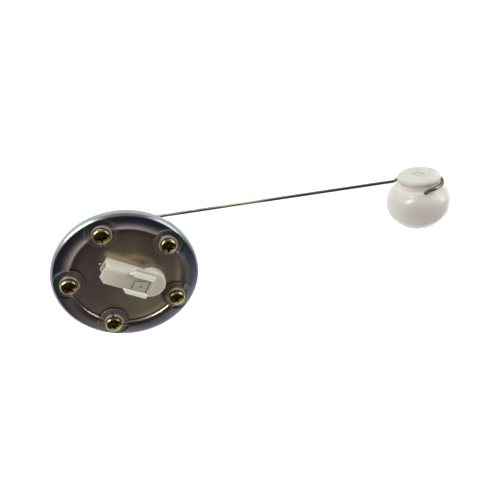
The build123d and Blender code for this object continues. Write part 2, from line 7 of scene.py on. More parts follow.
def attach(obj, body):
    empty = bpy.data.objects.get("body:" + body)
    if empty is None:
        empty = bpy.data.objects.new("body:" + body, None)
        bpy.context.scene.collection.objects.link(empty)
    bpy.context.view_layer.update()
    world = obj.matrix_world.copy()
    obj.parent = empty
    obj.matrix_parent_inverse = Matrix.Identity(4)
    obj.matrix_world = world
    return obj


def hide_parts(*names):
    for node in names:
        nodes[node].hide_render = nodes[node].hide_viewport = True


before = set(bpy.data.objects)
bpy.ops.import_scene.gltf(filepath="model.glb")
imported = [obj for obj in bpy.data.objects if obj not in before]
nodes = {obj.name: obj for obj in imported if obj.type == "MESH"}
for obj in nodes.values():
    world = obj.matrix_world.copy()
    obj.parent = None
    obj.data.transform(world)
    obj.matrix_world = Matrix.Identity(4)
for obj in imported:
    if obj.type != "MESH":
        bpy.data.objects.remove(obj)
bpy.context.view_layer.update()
print("frame loaded:", len(nodes), "nodes")


# small helpers for building node trees

def newTree(material):
    material.use_nodes = True
    tree = material.node_tree
    tree.nodes.clear()
    return tree


def addNode(tree, kind, **settings):
    node = tree.nodes.new(kind)
    for key, value in settings.items():
        setattr(node, key, value)
    return node


def setInputs(node, values):
    for key, value in values.items():
        node.inputs[key].default_value = value


def link(tree, source, output, target, socket):
    tree.links.new(source.outputs[output], target.inputs[socket])


def mathNode(tree, operation, first, second=None, clamp=False):
    node = addNode(tree, "ShaderNodeMath", operation=operation, use_clamp=clamp)
    for index, value in enumerate((first, second)):
        if value is None:
            continue
        if isinstance(value, (int, float)):
            node.inputs[index].default_value = value
        else:
            tree.links.new(value, node.inputs[index])
    return node.outputs[0]


def rangeNode(tree, value, low, high, newLow=0.0, newHigh=1.0, smooth=True):
    node = addNode(tree, "ShaderNodeMapRange")
    node.interpolation_type = "SMOOTHSTEP" if smooth else "LINEAR"
    node.clamp = True
    tree.links.new(value, node.inputs["Value"])
    setInputs(node, {"From Min": low, "From Max": high, "To Min": newLow, "To Max": newHigh})
    return node.outputs["Result"]


def mixColour(tree, factor, first, second, blend="MIX"):
    node = addNode(tree, "ShaderNodeMix", data_type="RGBA", blend_type=blend)
    for socket, value in ((0, factor), (6, first), (7, second)):
        if isinstance(value, (int, float)):
            node.inputs[socket].default_value = value
        elif isinstance(value, tuple):
            node.inputs[socket].default_value = (*value, 1.0)
        else:
            tree.links.new(value, node.inputs[socket])
    return node.outputs[2]


def objectPoint(tree):
    return addNode(tree, "ShaderNodeTexCoord").outputs["Object"]


def splitPoint(tree, point):
    split = addNode(tree, "ShaderNodeSeparateXYZ")
    tree.links.new(point, split.inputs["Vector"])
    return split


def flatPoint(tree, split, axes):
    # the same point pressed flat onto the plane of two axes
    flat = addNode(tree, "ShaderNodeCombineXYZ")
    for axis in axes:
        link(tree, split, axis, flat, axis)
    return flat.outputs["Vector"]


def distanceFrom(tree, point, place):
    node = addNode(tree, "ShaderNodeVectorMath", operation="DISTANCE")
    tree.links.new(point, node.inputs[0])
    node.inputs[1].default_value = place
    return node.outputs["Value"]


def multiply(tree, *values):
    product = values[0]
    for value in values[1:]:
        product = mathNode(tree, "MULTIPLY", product, value)
    return product


def band(tree, value, rising, falling):
    # 1 between the two edges and 0 outside them
    return multiply(tree, rangeNode(tree, value, *rising), rangeNode(tree, value, *falling, 1.0, 0.0))


def noiseNode(tree, point, scale, detail=3.0, roughness=0.5, stretch=None):
    if stretch:
        mapping = addNode(tree, "ShaderNodeMapping")
        mapping.inputs["Scale"].default_value = stretch
        tree.links.new(point, mapping.inputs["Vector"])
        point = mapping.outputs["Vector"]
    node = addNode(tree, "ShaderNodeTexNoise")
    setInputs(node, {"Scale": scale, "Detail": detail, "Roughness": roughness})
    tree.links.new(point, node.inputs["Vector"])
    return node


def bumpNode(tree, height, strength, distance):
    node = addNode(tree, "ShaderNodeBump")
    setInputs(node, {"Strength": strength, "Distance": distance})
    tree.links.new(height, node.inputs["Height"])
    return node.outputs["Normal"]


def principled(tree, values):
    shader = addNode(tree, "ShaderNodeBsdfPrincipled")
    setInputs(shader, values)
    output = addNode(tree, "ShaderNodeOutputMaterial")
    link(tree, shader, "BSDF", output, "Surface")
    return shader


# shader node groups that several materials share

def newGroup(name, inputs, outputs):
    group = bpy.data.node_groups.new(name, "ShaderNodeTree")
    for label, kind, value in inputs:
        socket = group.interface.new_socket(name=label, in_out="INPUT", socket_type=kind)
        socket.default_value = value
    for label, kind in outputs:
        group.interface.new_socket(name=label, in_out="OUTPUT", socket_type=kind)
    return group, addNode(group, "NodeGroupInput"), addNode(group, "NodeGroupOutput")


handlingLook = {
    "pitNoise": {"Detail": 4.0, "Roughness": 0.6},
    "pitRange": (0.55, 0.75),
    "scratchNoise": {"Detail": 2.0, "Roughness": 0.4},
    "scratchTurns": ((0.2, 0.1, 0.35), (0.2, 0.1, 1.9)),
    "scratchStretch": (1.0, 28.0, 1.0),
    "scratchRange": (0.66, 0.72),
    "cloudNoise": (45.0, 4.0, 0.55),
}


def makeHandlingGroup():
    # fine pits, rubbed specks and hair scratches, as on plated metal that was handled
    look = handlingLook
    group, inside, outside = newGroup(
        "handlingMarks",
        [("Pit Scale", "NodeSocketFloat", 900.0), ("Scratch Scale", "NodeSocketFloat", 60.0)],
        [("Pits", "NodeSocketFloat"), ("Scratches", "NodeSocketFloat"), ("Cloud", "NodeSocketFloat")])
    point = objectPoint(group)
    pits = addNode(group, "ShaderNodeTexNoise")
    setInputs(pits, look["pitNoise"])
    group.links.new(point, pits.inputs["Vector"])
    link(group, inside, "Pit Scale", pits, "Scale")
    group.links.new(rangeNode(group, pits.outputs["Fac"], *look["pitRange"]), outside.inputs["Pits"])
    lines = []
    for turn in look["scratchTurns"]:
        mapping = addNode(group, "ShaderNodeMapping")
        setInputs(mapping, {"Rotation": turn, "Scale": look["scratchStretch"]})
        group.links.new(point, mapping.inputs["Vector"])
        hair = addNode(group, "ShaderNodeTexNoise")
        setInputs(hair, look["scratchNoise"])
        link(group, mapping, "Vector", hair, "Vector")
        link(group, inside, "Scratch Scale", hair, "Scale")
        lines.append(rangeNode(group, hair.outputs["Fac"], *look["scratchRange"]))
    group.links.new(mathNode(group, "MAXIMUM", *lines), outside.inputs["Scratches"])
    cloud = noiseNode(group, point, *look["cloudNoise"])
    group.links.new(cloud.outputs["Fac"], outside.inputs["Cloud"])
    return group


def makeGrainGroup():
    # the faint orange peel of a moulded surface, with a slow drift in tone
    group, inside, outside = newGroup(
        "mouldedGrain",
        [("Grain Scale", "NodeSocketFloat", 700.0), ("Drift Scale", "NodeSocketFloat", 60.0)],
        [("Grain", "NodeSocketFloat"), ("Drift", "NodeSocketFloat")])
    point = objectPoint(group)
    for label, scale in (("Grain", "Grain Scale"), ("Drift", "Drift Scale")):
        noise = addNode(group, "ShaderNodeTexNoise")
        setInputs(noise, {"Detail": 3.0, "Roughness": 0.55})
        group.links.new(point, noise.inputs["Vector"])
        link(group, inside, scale, noise, "Scale")
        group.links.new(noise.outputs["Fac"], outside.inputs[label])
    return group


handlingGroup = makeHandlingGroup()
grainGroup = makeGrainGroup()


def useGroup(tree, group, values):
    node = addNode(tree, "ShaderNodeGroup")
    node.node_tree = group
    setInputs(node, values)
    return node


# flange: dark passivated zinc with colours like a thin film of oil, with painted reflections, highlights and
# shade that change from side to side
flangeLook = {
    "boltCircle": 0.027,
    "screwAngles": (-43.0, 27.0, 97.0, 167.0, 237.0),
    # the floor, border and ring tones below carry painted reflections, highlights and shade by side
    "floorUpper": (0.33, 0.265, 0.225),
    "floorLower": (0.37, 0.31, 0.215),
    "floorLeft": (0.36, 0.265, 0.27),
    "borderUpper": (0.215, 0.165, 0.125),
    "borderLower": (0.45, 0.36, 0.31),
    "borderPaintedHighlight": (0.66, 0.57, 0.39),
    "ringInner": (0.46, 0.39, 0.41),
    "ringLowInner": (0.37, 0.315, 0.275),
    "ringOuter": (0.225, 0.205, 0.285),
    "ringDeep": (0.16, 0.19, 0.27),
    "ringLow": (0.33, 0.285, 0.315),
    "rim": (0.31, 0.295, 0.30),
    "rimShaded": (0.12, 0.11, 0.115),
    "shadedX": (0.000, 0.020),
    "shadedY": (-0.012, 0.012),
    # painted reflection of the socket on the plate
    "socketReflectionTone": (0.52, 0.42, 0.30),
    "socketReflectionPlace": (0.0020, 0.0125, 0.0),
    "socketReflectionReach": (0.0050, 0.0150),
    "paintedLightShare": 0.8,
    "teal": (0.17, 0.29, 0.29),
    "green": (0.27, 0.33, 0.17),
    "borderFrom": 0.0225,
    "borderTo": 0.0268,
    "ringFrom": 0.0278,
    "ringMiddle": 0.0296,
    "ringDark": 0.0318,
    "rimFrom": 0.0338,
    "rimTo": 0.0350,
    "haloRise": (0.0046, 0.0068),
    "haloFall": (0.0068, 0.0105),
    "haloReach": (0.0270, 0.0318),
    "haloShare": 0.85,
    "tealFrom": (0.0066, 0.0084),
    "crownMiddle": 0.0306,
    "crownHalf": 0.0028,
    "crownHeight": 0.00016,
    "foldRadius": 0.0274,
    "scallopRadius": 0.0061,
    "foldTop": 0.0055,
    "foldOuter": (0.0290, 0.0295),
    "wallLean": 0.80,
    "footWidth": 0.0012,
    "footHeight": 0.00036,
    "crestWidth": 0.0030,
    "crestHeight": 0.00025,
    "shoulderFrom": 0.0323,
    "shoulderWidth": 0.0024,
    "shoulderDrop": 0.00034,
    "padClear": (0.0056, 0.0080),
    "scallopFrom": (0.0048, 0.0056),
    "scallopTo": (0.0072, 0.0082),
    "scallopReach": (0.0265, 0.0280),
    "scallopDull": 0.35,
    # painted shade of the scallop walls round the screws
    "scallopShadeShare": 0.7,
    "scallopShade": (0.17, 0.14, 0.125),
    "lowSide": (-0.020, 0.018),
    "leftSide": (-0.024, 0.002),
    "leftShare": 0.75,
    "pitScale": 1500.0,
    "scratchScale": 70.0,
    "wobbleScale": 60.0,
    "driftWidth": 0.0026,
    "mottle": (0.38, 0.62),
    "cloudRange": (0.3, 0.7),
    "cloudGain": (0.86, 1.1),
    "pitTone": (0.12, 0.10, 0.09),
    "pitShare": 0.4,
    "scratchDepth": 0.6,
    "markHeight": 0.0000025,
    "roughness": 0.30,
    "roughSpread": 0.16,
}


def screwPlace(angle):
    turn = math.radians(angle)
    return Vector((math.cos(turn), math.sin(turn), 0.0)) * flangeLook["boltCircle"]


def nearestPad(tree, flat):
    # distance to the nearest screw, for the film colours and the painted reflection that stand round each pad
    nearest = None
    for angle in flangeLook["screwAngles"]:
        away = distanceFrom(tree, flat, screwPlace(angle))
        nearest = away if nearest is None else mathNode(tree, "MINIMUM", nearest, away)
    return nearest


def pressedFold(tree, split, reach, nearest):
    # softens the fold between floor and ring: its wall leans back, its foot and its crest are eased
    look = flangeLook
    inside = mathNode(tree, "MINIMUM", mathNode(tree, "SUBTRACT", look["foldRadius"], reach),
                      mathNode(tree, "SUBTRACT", nearest, look["scallopRadius"]))
    depth = mathNode(tree, "SUBTRACT", look["foldTop"], split.outputs["Z"])
    near = rangeNode(tree, reach, *look["foldOuter"], 1.0, 0.0)
    wall = multiply(tree, depth, look["wallLean"], near)
    outside = mathNode(tree, "MULTIPLY", inside, -1.0)
    past = mathNode(tree, "GREATER_THAN", outside, 0.0)
    foot = mathNode(tree, "SUBTRACT", 1.0, mathNode(tree, "DIVIDE", inside, look["footWidth"]), clamp=True)
    foot = multiply(tree, foot, foot, look["footHeight"], mathNode(tree, "SUBTRACT", 1.0, past))
    crest = mathNode(tree, "SUBTRACT", 1.0, mathNode(tree, "DIVIDE", outside, look["crestWidth"]), clamp=True)
    crest = multiply(tree, crest, crest, -look["crestHeight"], past,
                     rangeNode(tree, nearest, *look["padClear"]))
    shoulder = mathNode(tree, "DIVIDE", mathNode(tree, "SUBTRACT", reach, look["shoulderFrom"]),
                        look["shoulderWidth"], clamp=True)
    shoulder = multiply(tree, shoulder, shoulder, -look["shoulderDrop"])
    return mathNode(tree, "ADD", mathNode(tree, "ADD", wall, shoulder), mathNode(tree, "ADD", foot, crest))


def makeFlangeMaterial():
    look = flangeLook
    material = bpy.data.materials.new("iridescentZinc")
    tree = newTree(material)
    marks = useGroup(tree, handlingGroup, {
        "Pit Scale": look["pitScale"], "Scratch Scale": look["scratchScale"]})
    point = objectPoint(tree)
    split = splitPoint(tree, point)
    flat = flatPoint(tree, split, "XY")
    reach = distanceFrom(tree, flat, (0.0, 0.0, 0.0))
    wobble = noiseNode(tree, point, look["wobbleScale"]).outputs["Fac"]
    drift = multiply(tree, mathNode(tree, "SUBTRACT", wobble, 0.5), look["driftWidth"])
    shifted = mathNode(tree, "ADD", reach, drift)
    nearest = nearestPad(tree, flat)
    # painted reflection: the floor is painted lighter towards the lower side, and pinker on the left
    lowSide = rangeNode(tree, split.outputs["Y"], *look["lowSide"], 1.0, 0.0)
    leftSide = rangeNode(tree, split.outputs["X"], *look["leftSide"], 1.0, 0.0)
    colour = mixColour(tree, lowSide, look["floorUpper"], look["floorLower"])
    colour = mixColour(tree, multiply(tree, leftSide, look["leftShare"]), colour, look["floorLeft"])
    # painted reflection of the socket: a brighter patch of plate behind it
    socketReflection = distanceFrom(tree, flat, look["socketReflectionPlace"])
    socketReflection = rangeNode(tree, socketReflection, *look["socketReflectionReach"], look["paintedLightShare"], 0.0)
    colour = mixColour(tree, socketReflection, colour, look["socketReflectionTone"])
    # painted shade and highlight of the pressed fold: the border is painted dark on the upper side and
    # lighter, golden, on the lower right
    border = mixColour(tree, lowSide, look["borderUpper"], look["borderLower"])
    rightSide = mathNode(tree, "SUBTRACT", 1.0, leftSide)
    border = mixColour(tree, multiply(tree, lowSide, rightSide), border, look["borderPaintedHighlight"])
    colour = mixColour(tree, rangeNode(tree, shifted, look["borderFrom"], look["borderTo"]), colour, border)
    # the ring's inner band is mauve film colour painted lighter, a painted highlight; its lower and
    # lower-left sides are painted lighter, a painted reflection; the mottle between the outer tones is random
    ringColour = mixColour(tree, rangeNode(tree, wobble, *look["mottle"]),
                           look["ringOuter"], look["ringDeep"])
    ringColour = mixColour(tree, multiply(tree, lowSide, leftSide), ringColour, look["ringLow"])
    ringInner = mixColour(tree, lowSide, look["ringInner"], look["ringLowInner"])
    ringColour = mixColour(tree, rangeNode(tree, shifted, look["ringMiddle"], look["ringDark"]),
                           ringInner, ringColour)
    colour = mixColour(tree, rangeNode(tree, reach, look["borderTo"], look["ringFrom"]), colour, ringColour)
    shaded = multiply(tree, rangeNode(tree, split.outputs["X"], *look["shadedX"]),
                      rangeNode(tree, split.outputs["Y"], *look["shadedY"], 1.0, 0.0))
    rim = mixColour(tree, shaded, look["rim"], look["rimShaded"])
    colour = mixColour(tree, rangeNode(tree, reach, look["rimFrom"], look["rimTo"]), colour, rim)
    # teal and green halo round each pad: film colour and painted reflection of the pad's edge
    halo = multiply(tree, band(tree, nearest, look["haloRise"], look["haloFall"]),
                    rangeNode(tree, reach, *look["haloReach"]), look["haloShare"])
    tint = mixColour(tree, rangeNode(tree, mathNode(tree, "ADD", nearest, drift), *look["tealFrom"]),
                     look["green"], look["teal"])
    colour = mixColour(tree, halo, colour, tint)
    cloud = rangeNode(tree, marks.outputs["Cloud"], *look["cloudRange"], *look["cloudGain"], smooth=False)
    scaled = addNode(tree, "ShaderNodeVectorMath", operation="SCALE")
    tree.links.new(colour, scaled.inputs[0])
    tree.links.new(cloud, scaled.inputs["Scale"])
    colour = mixColour(tree, multiply(tree, marks.outputs["Pits"], look["pitShare"]),
                       scaled.outputs["Vector"], look["pitTone"])
    # the scallops' walls were drawn over the die, so they are duller than the plate; they are also painted
    # darker, painted shade in the recess round each screw
    wall = multiply(tree, band(tree, nearest, look["scallopFrom"], look["scallopTo"]),
                    rangeNode(tree, reach, *look["scallopReach"], 1.0, 0.0))
    colour = mixColour(tree, multiply(tree, wall, look["scallopShadeShare"]), colour, look["scallopShade"])
    shader = principled(tree, {"Metallic": 1.0})
    tree.links.new(colour, shader.inputs["Base Color"])
    rough = multiply(tree, marks.outputs["Cloud"], look["roughSpread"])
    rough = mathNode(tree, "ADD", rough, look["roughness"] - look["roughSpread"] / 2)
    rough = mathNode(tree, "ADD", rough, multiply(tree, wall, look["scallopDull"]))
    tree.links.new(rough, shader.inputs["Roughness"])
    # the pressed ring is very slightly crowned, like a shallow arch from its inner to its outer edge
    across = mathNode(tree, "SUBTRACT", reach, look["crownMiddle"])
    across = mathNode(tree, "DIVIDE", across, look["crownHalf"])
    arch = mathNode(tree, "SUBTRACT", 1.0, multiply(tree, across, across), clamp=True)
    crown = multiply(tree, arch, look["crownHeight"])
    scratches = multiply(tree, marks.outputs["Scratches"], -look["scratchDepth"])
    height = mathNode(tree, "ADD", marks.outputs["Pits"], scratches)
    height = mathNode(tree, "ADD", crown, multiply(tree, height, look["markHeight"]))
    height = mathNode(tree, "ADD", height, pressedFold(tree, split, reach, nearest))
    tree.links.new(bumpNode(tree, height, 1.0, 1.0), shader.inputs["Normal"])
    return material


# metals that differ in colour, polish and how far they are marked
metalLooks = {
    "yellowZinc": {
        "base": (0.49, 0.41, 0.19), "stain": (0.24, 0.18, 0.065), "pit": (0.05, 0.04, 0.02),
        "roughness": 0.15, "spread": 0.12, "pitScale": 1900.0, "bump": 0.12},
    "springSteel": {
        "base": (0.74, 0.71, 0.65), "stain": (0.58, 0.55, 0.48), "pit": (0.20, 0.18, 0.14),
        "roughness": 0.42, "metallic": 0.5, "spread": 0.15, "pitScale": 2600.0, "bump": 0.15},
    "tinnedBrass": {
        "base": (0.72, 0.68, 0.58), "stain": (0.60, 0.52, 0.36), "pit": (0.30, 0.24, 0.15),
        "roughness": 0.25, "spread": 0.15, "pitScale": 2400.0, "bump": 0.1},
    "brightZinc": {
        "base": (0.66, 0.67, 0.68), "stain": (0.50, 0.50, 0.50), "pit": (0.20, 0.19, 0.18),
        "roughness": 0.3, "spread": 0.15, "pitScale": 1800.0, "bump": 0.15},
    "bracketSteel": {
        "base": (0.56, 0.50, 0.34), "stain": (0.44, 0.38, 0.42), "pit": (0.16, 0.13, 0.10),
        "roughness": 0.3, "spread": 0.2, "pitScale": 1500.0, "bump": 0.15},
    "turnedBrass": {
        "base": (0.76, 0.58, 0.28), "stain": (0.60, 0.43, 0.20), "pit": (0.30, 0.20, 0.10),
        "roughness": 0.24, "spread": 0.12, "pitScale": 2200.0, "bump": 0.1},
    "springBronze": {
        "base": (0.72, 0.42, 0.22), "stain": (0.52, 0.28, 0.15), "pit": (0.20, 0.10, 0.06),
        "roughness": 0.28, "spread": 0.12, "pitScale": 2200.0, "bump": 0.1},
    "resistanceWire": {
        "base": (0.50, 0.49, 0.46), "stain": (0.38, 0.36, 0.32), "pit": (0.14, 0.13, 0.12),
        "roughness": 0.34, "spread": 0.12, "pitScale": 3000.0, "bump": 0.1},
}

# marks that all of these metals have alike
metalMarks = {
    "scratchScale": 160.0,
    "blotchScale": 260.0,
    "blotchRange": (0.38, 0.62),
    "pitShare": 0.6,
    "depth": 0.00002,
}


def makeMetal(name):
    look = metalLooks[name]
    shared = metalMarks
    material = bpy.data.materials.new(name)
    tree = newTree(material)
    marks = useGroup(tree, handlingGroup, {
        "Pit Scale": look["pitScale"], "Scratch Scale": shared["scratchScale"]})
    blotch = noiseNode(tree, objectPoint(tree), shared["blotchScale"]).outputs["Fac"]
    colour = mixColour(tree, rangeNode(tree, blotch, *shared["blotchRange"]), look["base"], look["stain"])
    colour = mixColour(tree, multiply(tree, marks.outputs["Pits"], shared["pitShare"]), colour, look["pit"])
    shader = principled(tree, {"Metallic": look.get("metallic", 1.0)})
    tree.links.new(colour, shader.inputs["Base Color"])
    rough = multiply(tree, marks.outputs["Cloud"], look["spread"])
    rough = mathNode(tree, "ADD", rough, look["roughness"] - look["spread"] / 2)
    tree.links.new(rough, shader.inputs["Roughness"])
    height = mathNode(tree, "ADD", marks.outputs["Pits"], marks.outputs["Scratches"])
    tree.links.new(bumpNode(tree, height, look["bump"], shared["depth"]), shader.inputs["Normal"])
    return material


# arm: spring wire, dark oil-hardened skin with drawing lines along it
armLook = {
    "dark": (0.15, 0.135, 0.115),
    "light": (0.30, 0.28, 0.24),
    "rust": (0.13, 0.10, 0.075),
    # painted highlight: a lighter olive band along the wire
    "glintTone": (0.62, 0.61, 0.42),
    "glintFrom": (0.048, 0.060),
    "glintTo": (0.068, 0.080),
    "paintedLightShare": 0.8,
    "lineRange": (0.35, 0.7),
    "rustRange": (0.52, 0.75),
    "edgeTint": (0.16, 0.15, 0.13, 1.0),
    "rise": 16.8,
    "drawnNoise": (1500.0, 2.0, 0.5, (0.004, 1.0, 1.0)),
    "patchNoise": (130.0, 4.0),
    "patchRange": (0.3, 0.8),
    "roughness": (0.24, 0.42),
    "bump": 0.10,
    "depth": 0.00002,
}


def makeArmMaterial():
    look = armLook
    material = bpy.data.materials.new("armWire")
    tree = newTree(material)
    mapping = addNode(tree, "ShaderNodeMapping")
    mapping.inputs["Rotation"].default_value = (0.0, math.radians(look["rise"]), 0.0)
    tree.links.new(objectPoint(tree), mapping.inputs["Vector"])
    drawn = noiseNode(tree, mapping.outputs["Vector"], *look["drawnNoise"]).outputs["Fac"]
    patch = noiseNode(tree, objectPoint(tree), *look["patchNoise"]).outputs["Fac"]
    colour = mixColour(tree, rangeNode(tree, drawn, *look["lineRange"]), look["dark"], look["light"])
    colour = mixColour(tree, rangeNode(tree, patch, *look["rustRange"]), colour, look["rust"])
    # painted highlight: a lighter olive band on the wire between 48 and 80 mm along it
    along = splitPoint(tree, objectPoint(tree)).outputs["X"]
    glint = band(tree, along, look["glintFrom"], look["glintTo"])
    colour = mixColour(tree, multiply(tree, glint, look["paintedLightShare"]), colour, look["glintTone"])
    shader = principled(tree, {"Metallic": 1.0, "Specular Tint": look["edgeTint"]})
    tree.links.new(colour, shader.inputs["Base Color"])
    rough = rangeNode(tree, patch, *look["patchRange"], *look["roughness"])
    tree.links.new(rough, shader.inputs["Roughness"])
    tree.links.new(bumpNode(tree, drawn, look["bump"], look["depth"]), shader.inputs["Normal"])
    return material


# mouldings: colour, grain and how far light goes in
mouldingLooks = {
    "whiteNylon": {
        "base": (0.75, 0.715, 0.625), "drift": (0.73, 0.69, 0.59), "roughness": 0.42, "grainScale": 900.0,
        "bump": 0.05, "subsurface": 0.7, "depth": 0.0024, "radius": (1.0, 0.86, 0.66)},
    "milkyFloat": {
        "base": (0.67, 0.66, 0.60), "drift": (0.67, 0.63, 0.585), "roughness": 0.22, "grainScale": 300.0,
        "bump": 0.006, "subsurface": 1.0, "depth": 0.008, "radius": (1.0, 0.92, 0.8)},
    "darkMoulding": {
        "base": (0.022, 0.022, 0.024), "drift": (0.030, 0.029, 0.029), "roughness": 0.42,
        "grainScale": 1400.0, "bump": 0.3, "subsurface": 0.0},
    "naturalAcetal": {
        "base": (0.72, 0.71, 0.66), "drift": (0.68, 0.66, 0.60), "roughness": 0.38, "grainScale": 900.0,
        "bump": 0.12, "subsurface": 0.4, "depth": 0.001, "radius": (1.0, 0.9, 0.8)},
    "laminateBoard": {
        "base": (0.30, 0.17, 0.07), "drift": (0.24, 0.13, 0.05), "roughness": 0.5,
        "grainScale": 2500.0, "bump": 0.3, "subsurface": 0.0},
    "sealRubber": {
        "base": (0.020, 0.020, 0.021), "drift": (0.034, 0.033, 0.032), "roughness": 0.68,
        "grainScale": 1800.0, "bump": 0.45, "subsurface": 0.0},
}
mouldingGrain = {
    "driftScale": 70.0,
    "driftRange": (0.35, 0.65),
    "grainRange": (0.3, 0.7),
    "roughSpread": 0.05,
    "depth": 0.00004,
    "refraction": 1.5,
}


# the cut round the latch flap is painted dark, painted shade in the narrow cut, and the gate mark on it is a
# little darker; the top face is painted darker towards the flap as painted shade, and the rails' tops pale as
# a painted highlight
flapLook = {
    "place": (0.0099, -0.0052, 0.0),  # the socket's own corner and turn on the flange
    "turn": 140.5,
    "edge": 0.0001,
    "middle": (0.0054, -0.0001),
    "half": (0.0040, 0.0040),
    "cutTop": 0.01162,
    "cutLow": 0.0104,
    # painted shade in the cut round the flap
    "cutShade": (0.11, 0.075, 0.045),
    "gate": (0.0050, 0.0009, 0.0),
    "gateRadius": 0.00095,
    "gateShade": (0.42, 0.385, 0.32),
    "topLevel": (0.0088, 0.0119),
    "railLevel": (0.01180, 0.01205),
    # painted shade of the top face towards the flap, and painted highlight on the rails' tops
    "topShade": (0.56, 0.52, 0.42),
    "railPale": (0.85, 0.83, 0.745),
    "topShadeReach": (0.0125, 0.0235),
    "topShadeLeast": 0.15,
    "flapShadeTone": (0.50, 0.465, 0.385),
    "flapFrom": (0.0092, 0.0120),
}


def addFlapShade(tree, colour):
    look = flapLook
    local = addNode(tree, "ShaderNodeMapping", vector_type="TEXTURE")
    local.inputs["Location"].default_value = look["place"]
    local.inputs["Rotation"].default_value = (0.0, 0.0, math.radians(look["turn"]))
    tree.links.new(objectPoint(tree), local.inputs["Vector"])
    split = splitPoint(tree, local.outputs["Vector"])
    along, level, edge = split.outputs["X"], split.outputs["Z"], look["edge"]
    # the top face is painted darker towards the flap and darker still on the flap, painted shade; the rails'
    # tops are painted pale, a painted highlight
    top = rangeNode(tree, level, *look["topLevel"])
    topShade = rangeNode(tree, along, *look["topShadeReach"], 1.0, look["topShadeLeast"])
    colour = mixColour(tree, multiply(tree, top, topShade), colour, look["topShade"])
    onFlap = rangeNode(tree, along, *look["flapFrom"], 1.0, 0.0)
    colour = mixColour(tree, multiply(tree, top, onFlap), colour, look["flapShadeTone"])
    colour = mixColour(tree, rangeNode(tree, level, *look["railLevel"]), colour, look["railPale"])
    raised = rangeNode(tree, level, look["cutLow"], look["cutLow"] + edge)
    # painted shade: the walls and floor of the cut round the flap are painted dark
    cut = multiply(tree, raised, rangeNode(tree, level, look["cutTop"] - edge, look["cutTop"], 1.0, 0.0))
    for axis, middle, half in zip("XY", look["middle"], look["half"]):
        away = mathNode(tree, "ABSOLUTE", mathNode(tree, "SUBTRACT", split.outputs[axis], middle))
        cut = multiply(tree, cut, rangeNode(tree, away, half, half + 2 * edge, 1.0, 0.0))
    colour = mixColour(tree, cut, colour, look["cutShade"])
    gate = distanceFrom(tree, flatPoint(tree, split, "XY"), look["gate"])
    gate = rangeNode(tree, gate, look["gateRadius"] - edge, look["gateRadius"], 1.0, 0.0)
    return mixColour(tree, multiply(tree, gate, raised), colour, look["gateShade"])


# the float's thin neck is painted paler, painted light for what shines through it; the cap's top is painted
# darker, painted shade; the gate mark on its cap is yellower
floatLook = {
    "axis": (0.14317, 0.0, 0.030524),
    # painted light in the neck and painted shade on the cap's top
    "neckPale": (0.78, 0.76, 0.70),
    "capShade": (0.53, 0.525, 0.475),
    "capLevel": (0.0218, 0.0226),
    "neckLow": (0.0176, 0.0192),
    "neckHigh": (0.0213, 0.0221),
    "gateTone": (0.58, 0.53, 0.40),
    "gateRadius": (0.0013, 0.0026),
    "gateLevel": (0.0236, 0.0240),
}


def addFloatTones(tree, colour):
    look = floatLook
    split = splitPoint(tree, objectPoint(tree))
    level = split.outputs["Y"]
    # painted light in the thin neck, painted shade on the cap's top
    colour = mixColour(tree, band(tree, level, look["neckLow"], look["neckHigh"]), colour, look["neckPale"])
    colour = mixColour(tree, rangeNode(tree, level, *look["capLevel"]), colour, look["capShade"])
    away = distanceFrom(tree, flatPoint(tree, split, "XZ"), look["axis"])
    gate = multiply(tree, rangeNode(tree, away, *look["gateRadius"], 1.0, 0.0),
                    rangeNode(tree, level, *look["gateLevel"]))
    return mixColour(tree, gate, colour, look["gateTone"])


def makeMoulding(name):
    look = mouldingLooks[name]
    shared = mouldingGrain
    material = bpy.data.materials.new(name)
    tree = newTree(material)
    grain = useGroup(tree, grainGroup, {
        "Grain Scale": look["grainScale"], "Drift Scale": shared["driftScale"]})
    drift = rangeNode(tree, grain.outputs["Drift"], *shared["driftRange"])
    colour = mixColour(tree, drift, look["base"], look["drift"])
    if name == "whiteNylon":
        colour = addFlapShade(tree, colour)
    if name == "milkyFloat":
        colour = addFloatTones(tree, colour)
    shader = principled(tree, {"Metallic": 0.0, "IOR": shared["refraction"]})
    if look["subsurface"] > 0:
        shader.subsurface_method = "RANDOM_WALK"
        setInputs(shader, {"Subsurface Weight": look["subsurface"], "Subsurface Scale": look["depth"],
                           "Subsurface Radius": look["radius"]})
    tree.links.new(colour, shader.inputs["Base Color"])
    rough = rangeNode(tree, grain.outputs["Grain"], *shared["grainRange"],
                      look["roughness"] - shared["roughSpread"], look["roughness"] + shared["roughSpread"])
    tree.links.new(rough, shader.inputs["Roughness"])
    normal = bumpNode(tree, grain.outputs["Grain"], look["bump"], shared["depth"])
    tree.links.new(normal, shader.inputs["Normal"])
    return material


def dress(material, *names):
    for name in names:
        slots = nodes[name].material_slots
        if not slots:
            nodes[name].data.materials.append(material)
        for materialSlot in slots:
            materialSlot.material = material


